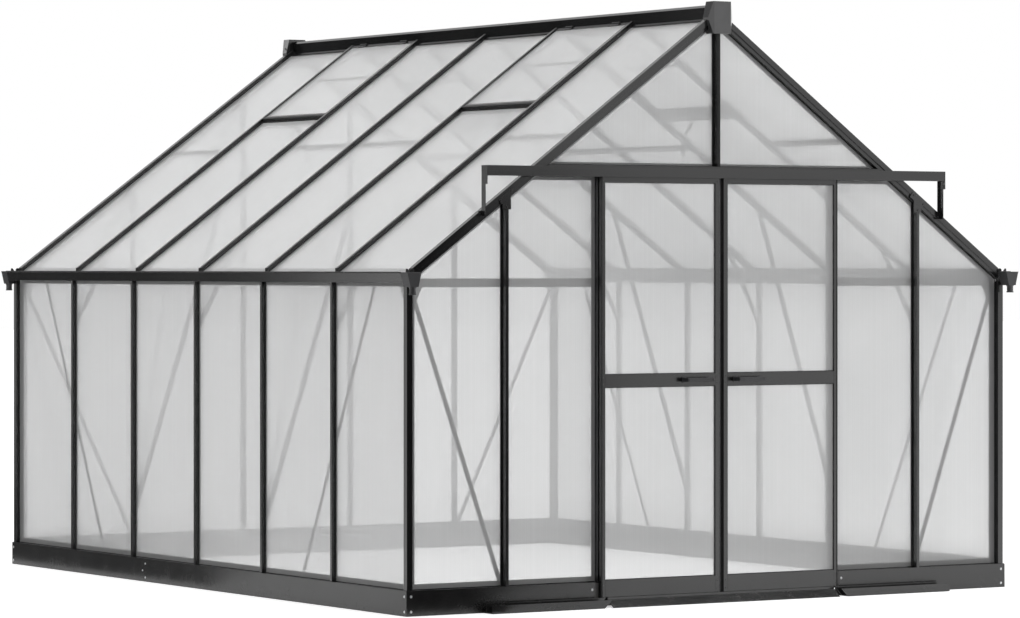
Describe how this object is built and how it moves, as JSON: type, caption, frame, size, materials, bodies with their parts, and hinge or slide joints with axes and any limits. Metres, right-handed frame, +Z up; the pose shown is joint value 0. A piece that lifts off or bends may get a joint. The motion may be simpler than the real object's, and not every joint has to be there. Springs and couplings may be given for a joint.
{
  "type": "polycarbonate greenhouse",
  "caption": "Free-standing greenhouse: dark metal frame on base rails, milky twin-wall sheets, pitched roof with closed vents, gutters, and a pair of sliding doors.",
  "frame": {"origin": "on the ground, at the middle of the whole footprint, gutters and door guide included", "axes": "+X to the right seen from the doors, +Y towards the back wall, along the ridge, +Z up"},
  "size_m": [3.162, 3.833, 2.5526],
  "materials": {
    "frame": "satin powder coat",
    "base": "satin powder coat",
    "sheet": "milky twin-wall sheet",
    "moulding": "fine-grained moulding"
  },
  "bodies": {
    "building": {"base_front": "base", "base_back": "base", "base_left": "base", "base_right": "base", "sills": "frame", "corner_posts": "frame", "studs_left": "frame", "studs_right": "frame", "studs_back": "frame", "studs_front": "frame", "door_jambs": "frame", "door_header": "frame", "king_post": "frame", "eave_left": "frame", "eave_right": "frame", "gutter_left": "frame", "gutter_right": "frame", "gutter_ends": "moulding", "roof_bars_left": "frame", "roof_bars_right": "frame", "rakes_front": "frame", "rakes_back": "frame", "ridge_beam": "frame", "ridge_caps": "moulding", "wall_panels_left": "sheet", "wall_panels_right": "sheet", "wall_panels_back": "sheet", "wall_panels_front": "sheet", "gable_panels": "sheet", "roof_panels_left": "sheet", "roof_panels_right": "sheet", "purlins": "frame", "transoms": "frame", "gussets": "frame", "vent_frames": "frame", "vent_panes": "sheet", "vent_stays": "frame", "wall_braces": "frame", "knee_braces": "frame", "roof_struts": "frame", "door_track": "frame", "door_guides": "frame", "threshold": "frame"},
    "door_left": {"door_left_frame": "frame", "door_left_panes": "sheet", "door_left_handle": "moulding", "door_left_rollers": "moulding"},
    "door_right": {"door_right_frame": "frame", "door_right_panes": "sheet", "door_right_handle": "moulding", "door_right_rollers": "moulding"}
  },
  "joints": [
    {"name": "door_left_slide", "type": "slide", "parent": "building", "child": "door_left", "axis": [-1, 0, 0], "range_m": [0, 0.56]},
    {"name": "door_right_slide", "type": "slide", "parent": "building", "child": "door_right", "axis": [1, 0, 0], "range_m": [0, 0.56]}
  ]
}
